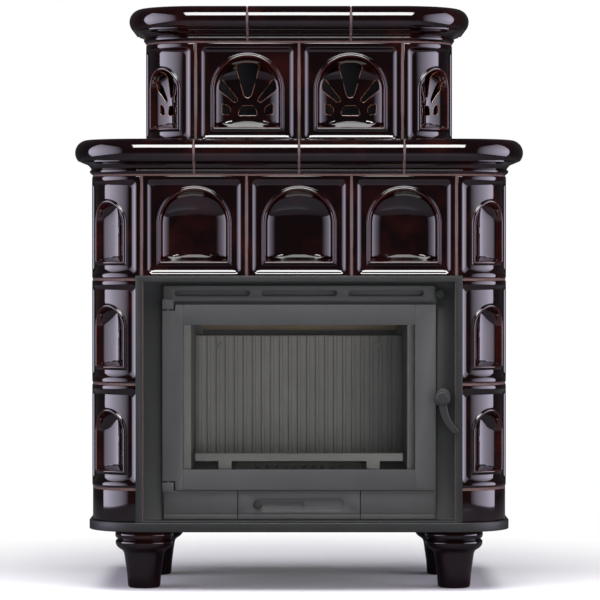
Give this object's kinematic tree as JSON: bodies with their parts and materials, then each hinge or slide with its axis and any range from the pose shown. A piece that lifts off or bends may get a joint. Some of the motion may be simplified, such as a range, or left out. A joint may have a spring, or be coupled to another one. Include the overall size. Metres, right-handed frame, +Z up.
{
  "type": "tiled stove",
  "caption": "Tiled stove with glazed niche tiles, round corners, roll cornices, a pierced set-back crown, turned feet and a glass-door fireplace insert.",
  "frame": {"origin": "on the floor, in the middle of the bounding box", "axes": "+Z up, +X to the right as seen from the front, and the door faces -Y"},
  "size_m": [0.9514, 0.6357, 1.236],
  "materials": {
    "glaze": "high gloss transparent dark brown glaze, near black, paler and warmer where it thins on cut edges",
    "mortar": "matt brown-grey joint mortar",
    "black_steel": "matt black stove paint",
    "door_steel": "dark grey stove paint with a fine grain",
    "cast_iron": "matt grey cast iron",
    "vermiculite": "matt speckled beige insulation board",
    "seal_rope": "grey woven glass rope",
    "sheet_steel": "dark heat-resistant paint on sheet steel",
    "fire_glass": "clear ceramic fire glass"
  },
  "bodies": {
    "stove": {"foot_front_left": "glaze", "foot_front_right": "glaze", "foot_rear_left": "glaze", "foot_rear_right": "glaze", "base_plate": "black_steel", "plinth_corner_left": "glaze", "plinth_corner_right": "glaze", "corner_tile_left_1": "glaze", "corner_tile_left_2": "glaze", "corner_tile_left_3": "glaze", "corner_tile_right_1": "glaze", "corner_tile_right_2": "glaze", "corner_tile_right_3": "glaze", "front_tile_1": "glaze", "front_tile_2": "glaze", "front_tile_3": "glaze", "side_wall_left": "glaze", "side_wall_right": "glaze", "crown_tile_1": "glaze", "crown_tile_2": "glaze", "crown_corner_left": "glaze", "crown_corner_right": "glaze", "crown_side_left_1": "glaze", "crown_side_right_1": "glaze", "body_mortar": "mortar", "crown_mortar": "mortar", "cornice_front_1": "glaze", "cornice_front_2": "glaze", "cornice_corner_left": "glaze", "cornice_corner_right": "glaze", "cornice_side_left": "glaze", "cornice_side_right": "glaze", "crown_cornice_front_1": "glaze", "crown_cornice_corner_left": "glaze", "crown_cornice_corner_right": "glaze", "crown_cornice_side_left": "glaze", "crown_cornice_side_right": "glaze", "shelf_cover": "sheet_steel", "crown_cover": "sheet_steel", "back_cover": "sheet_steel", "crown_back_cover": "sheet_steel", "surround": "black_steel", "slot_panel": "door_steel", "lower_panel_left": "door_steel", "lower_panel_right": "door_steel", "firebox": "sheet_steel", "grate": "cast_iron", "side_lining_left": "cast_iron", "side_lining_right": "cast_iron", "baffle": "vermiculite", "back_plate": "cast_iron", "log_guard": "cast_iron", "flue_pipe": "sheet_steel"},
    "door": {"door_frame": "door_steel", "door_glass": "fire_glass", "door_seal": "seal_rope"},
    "handle": {"door_handle": "black_steel"},
    "drawer": {"ash_drawer": "door_steel"},
    "slider": {"air_slider": "black_steel"},
    "damper": {"damper_knob": "black_steel"}
  },
  "joints": [
    {"name": "door_hinge", "type": "hinge", "parent": "stove", "child": "door", "pos_m": [-0.276, -0.246, 0.408], "axis": [0, 0, -1], "range_deg": [0, 110]},
    {"name": "handle_pivot", "type": "hinge", "parent": "door", "child": "handle", "pos_m": [0.3, -0.24, 0.4063], "axis": [0, -1, 0], "range_deg": [0, 60]},
    {"name": "drawer_slide", "type": "slide", "parent": "stove", "child": "drawer", "axis": [0, -1, 0], "range_m": [0, 0.25]},
    {"name": "air_slide", "type": "slide", "parent": "drawer", "child": "slider", "axis": [1, 0, 0], "range_m": [0, 0.086]},
    {"name": "damper_pull", "type": "slide", "parent": "stove", "child": "damper", "axis": [0, -1, 0], "range_m": [0, 0.06]}
  ]
}
